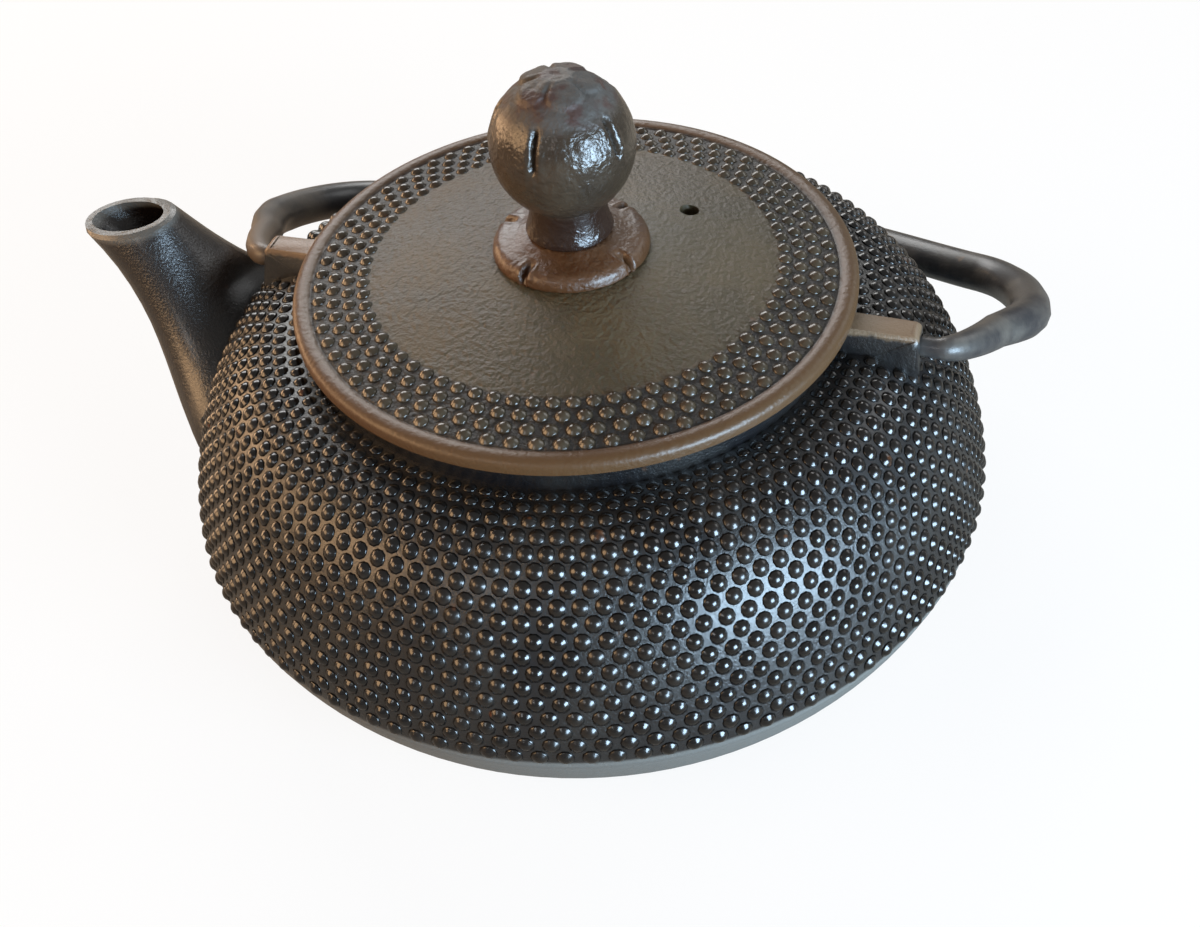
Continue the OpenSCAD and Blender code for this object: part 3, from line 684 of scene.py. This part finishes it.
def bud_relief(azimuth, elevation):
    """How far the bud's skin stands out from a ball, in mm."""
    slit = min((turn_gap(azimuth, SLIT_FIRST + 360 / PETALS * i) for i in range(PETALS)), key=abs)
    across = math.radians(slit) * BUD_R * math.cos(math.radians(elevation))
    length = ease(elevation, 4, 11) * (1 - ease(elevation, 36, 43))
    relief = length * (0.16 * math.exp(-((across - SLIT_LIP) / SLIT_LIP_HALF) ** 2)
                       + 0.10 * math.exp(-((across + SLIT_LIP) / SLIT_LIP_HALF) ** 2)
                       - SLIT_DEPTH * math.exp(-(across / SLIT_HALF) ** 2))
    out = BUD_R * math.cos(math.radians(elevation))
    petal = min((turn_gap(azimuth, CROWN_FIRST + 360 / PETALS * i) for i in range(PETALS)), key=abs)
    middle = CROWN_REACH - CROWN_PETAL
    turn = math.radians(petal)
    edge = (middle * math.cos(turn)
            + math.sqrt(max(CROWN_PETAL ** 2 - (middle * math.sin(turn)) ** 2, 0)))
    if elevation > 40:
        raised = 1 - ease(out, edge - 0.55, edge + 0.3)
        vein = math.exp(-((180 / PETALS - abs(petal)) * math.radians(1) * out / 0.4) ** 2)
        vein *= ease(out, 1.4, 3.2)
        along, aside = out * math.cos(turn), out * math.sin(turn)
        cup = math.exp(-(math.hypot(along - middle, aside) / 1.4) ** 2)
        relief += raised * (0.46 - 0.38 * vein - 0.14 * cup - 0.34 * math.exp(-(out / 1.5) ** 2))
    return relief


low_angle = -math.degrees(math.acos(5.6 / BUD_R))
bud_arc = [low_angle + (90 - low_angle) * i / ARC_STEPS for i in range(ARC_STEPS + 1)]
tenon = [(0, 52.0), (3.0, 52.0), (3.7, 52.25), (4.0, 52.8), (4.0, 53.2), (2.5, 53.2), (2.5, 60.0)]
foot = [(5.8, 60.0), (6.25, 60.2), (6.4, 60.6), (6.25, 61.2), (5.95, 62.0), (5.75, 63.0),
        (5.65, 64.0), (5.6, 64.8)]
ball = [(BUD_R * math.cos(math.radians(a)), BUD_Z + BUD_R * math.sin(math.radians(a)))
        for a in bud_arc[:-1]]
bud = spun(tenon + foot + ball + [(0, BUD_Z + BUD_R)], ROUND_STEPS)
bud_middle = Vector((0, 0, BUD_Z * MM))
for v in bud.verts:
    if v.co.z < BUD_LOW * MM:
        continue
    way = v.co - bud_middle
    azimuth = math.degrees(math.atan2(way.y, way.x))
    elevation = math.degrees(math.asin(min(way.z / way.length, 1.0)))
    dents = 0.05 * noise.noise(v.co * 520) + 0.03 * noise.noise(v.co * 1300)
    dents += 0.16 * noise.noise(v.co * 420 + Vector((3, 1, 2))) * ease(elevation, 50, 58)
    fade = ease(elevation, low_angle, low_angle + 10)
    relief = fade * (bud_relief(azimuth, elevation) + dents)
    v.co = bud_middle + way.normalized() * (BUD_R + relief) * MM
knob_bud = new_object("knob_bud", bud)
knob_bud.data.set_sharp_from_angle(angle=math.radians(50))
knob_bud.data.materials.append(knob_iron)
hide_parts("knob")
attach(knob_bud, "lid")


# Knob seat. A petalled plum-blossom washer of rust-brown iron under the stem, with five short
# notches filed in from its edge.
NOTCHES = (-110, -24, 55, 114, 172)
NOTCH_DEPTH, NOTCH_LIP, NOTCH_PULL = 1.25, 0.14, 0.35
SEAT_STEPS = 256

seat_iron = lacquered_iron(
    "seat_iron", low=(0.046, 0.017, 0.005), high=(0.076, 0.031, 0.010), rust=(0.12, 0.062, 0.026),
    rough=(0.34, 0.46), coat=0.25, coat_rough=0.15, pebble=0.2, sand=0.5, depth=0.00022,
    crackle=1.0)
seat_edge = [(2.55, 56.8), (11.3, 56.8), (11.55, 56.95), (11.6, 57.2)]
seat_bead = [(9.7 + 1.85 * math.cos(math.radians(a)), 57.3 + 1.85 * math.sin(math.radians(a)))
             for a in range(5, 82, 8)]
seat_top = [(9.5, 59.2), (9.0, 59.3), (8.5, 59.4), (8.0, 59.52), (7.5, 59.68), (7.0, 59.85),
            (6.6, 60.0), (6.2, 60.1), (5.6, 60.12), (4.5, 60.0), (2.55, 60.0)]
seat = spun(seat_edge + seat_bead + seat_top, SEAT_STEPS, closed=True)
for v in seat.verts:
    r = math.hypot(v.co.x, v.co.y) / MM
    if r < 7.5 or v.co.z < 56.9 * MM:
        continue
    azimuth = math.degrees(math.atan2(v.co.y, v.co.x))
    across = min((math.radians(turn_gap(azimuth, n)) * r for n in NOTCHES), key=abs)
    cut = 1 - ease(abs(across), 0.25, 0.75)
    lip = math.exp(-((abs(across) - 1.1) / 0.35) ** 2)
    inward = ease(r, 8.6, 9.8)
    v.co.z += (-NOTCH_DEPTH * cut + NOTCH_LIP * lip) * inward * MM
    pull = 1 - NOTCH_PULL * cut * ease(r, 9.8, 11.4) / r
    v.co.x *= pull
    v.co.y *= pull
    v.co.z += 0.05 * noise.noise(v.co * 420) * MM
flower_seat = new_object("flower_seat", seat)
flower_seat.data.set_sharp_from_angle(angle=math.radians(50))
flower_seat.data.materials.append(seat_iron)
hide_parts("knob_seat")
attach(flower_seat, "lid")


# Bail. A cast iron rod bent to an arch and lacquered, thinner at its turned-in ends, which sit
# in the lugs' blind holes. It lies back on the belly.
AXIS_Z, REST_ANGLE, SLID = 47.0, 23.3, 1.0
END_D, ROOT_D, KNEE_D, ARM_D, BEND_D, GRIP_D = 2.9, 3.1, 5.3, 6.6, 6.4, 6.2
CURVE_STEPS = 16
start, knee, shoulder = (53.1, 0.0), (60.6, 13.0), (65.4, 26.5)
bend, apex = (57.0, 48.7), (0.0, 74.0)
BAIL_RUNS = (
    (start, (55.6, 0.0), (58.8, 7.0), knee, lambda t: ROOT_D + (KNEE_D - ROOT_D) * t ** 0.7),
    (knee, (62.8, 17.2), (65.3, 21.5), shoulder, lambda t: KNEE_D + (ARM_D - KNEE_D) * t),
    (shoulder, (65.5, 37.0), (62.2, 45.7), bend, lambda t: ARM_D + (BEND_D - ARM_D) * t),
    (bend, (46.0, 53.9), (27.0, 74.0), apex, lambda t: BEND_D + (GRIP_D - BEND_D) * t))

half = [(46.9, 0.0, END_D), (50.0, 0.0, END_D), (52.4, 0.0, END_D)]
for a, b, c, d, girth in BAIL_RUNS:
    half += [(*bezier((a, b, c, d), t / CURVE_STEPS), girth(t / CURVE_STEPS))
             for t in range(CURVE_STEPS)]
arch = half + [(*apex, GRIP_D)] + [(-x, y, d) for x, y, d in reversed(half)]
path = bpy.data.curves.new("bail_path", "CURVE")
path.dimensions = "3D"
path.bevel_depth = 0.5 * MM
path.bevel_resolution = 5
path.use_fill_caps = True
spline = path.splines.new("POLY")
spline.points.add(len(arch) - 1)
tilt = (Matrix.Translation((SLID * MM, 0, AXIS_Z * MM))
        @ Matrix.Rotation(math.radians(-REST_ANGLE), 4, "X"))
for point, (x, y, girth) in zip(spline.points, arch):
    point.co = (*(tilt @ (Vector((x, y, 0)) * MM)), 1)
    point.radius = girth
rod = bpy.data.objects.new("rod", path)
bpy.context.scene.collection.objects.link(rod)
bpy.context.view_layer.update()
rod_mesh = bpy.data.meshes.new_from_object(rod)
bpy.data.objects.remove(rod)
bm = bmesh.new()
bm.from_mesh(rod_mesh)
bmesh.ops.remove_doubles(bm, verts=bm.verts, dist=1e-6)
bail_iron = lacquered_iron(
    "bail_iron", low=(0.020, 0.020, 0.023), high=(0.100, 0.086, 0.071), rust=(0.12, 0.080, 0.052),
    rough=(0.36, 0.50), coat=0.2, coat_rough=0.2, pebble=0.2, sand=0.6, depth=0.00008)
tree = bail_iron.node_tree
place = place_parts(tree)
# The bail's left end: rubbed, and painted a paler warm grey as painted light from the warm lamps.
rubbed_end_painted_light = both(tree, ramp_node(tree, place["X"], -50 * MM, -54 * MM),
                  ramp_node(tree, place["Y"], 20 * MM, 6 * MM))
recolour(bail_iron, rubbed_end_painted_light, (0.120, 0.088, 0.062), 0.5)
bail_rod = new_object("bail_rod", bm)
bail_rod.data.set_sharp_from_angle(angle=math.radians(50))
bail_rod.data.materials.append(bail_iron)
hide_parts("bail")
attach(bail_rod, "handle")


# Strainer and washer. Pressed and perforated stainless steel, brushed round and a little stained
# by tea. The strainer hangs on the ledge in the mouth; the washer is held by the knob's tenon.
satin_steel = bpy.data.materials.new("satin_steel")
satin_steel.use_nodes = True
tree = satin_steel.node_tree
shader = tree.nodes["Principled BSDF"]
radius, height = axis_distance(tree)
lines = math_node(tree, "ADD", math_node(tree, "MULTIPLY", radius, 3.0), height)
brushed = noise_node(tree, lines, 5200, 3.0, 0.7)
stained = noise_node(tree, place_node(tree), 160, 3.0, 0.55)
link(tree, mixed(tree, ramp_node(tree, stained, 0.35, 0.7), (0.58, 0.59, 0.60), (0.46, 0.45, 0.43)),
     shader.inputs["Base Color"])
shader.inputs["Metallic"].default_value = 1.0
link(tree, ramp_node(tree, brushed, 0.3, 0.7, 0.22, 0.42), shader.inputs["Roughness"])
for name in ("knob_washer", "strainer_rim", "strainer_basket", "strainer_floor", "strainer_band"):
    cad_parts[name].data.materials.clear()
    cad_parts[name].data.materials.append(satin_steel)
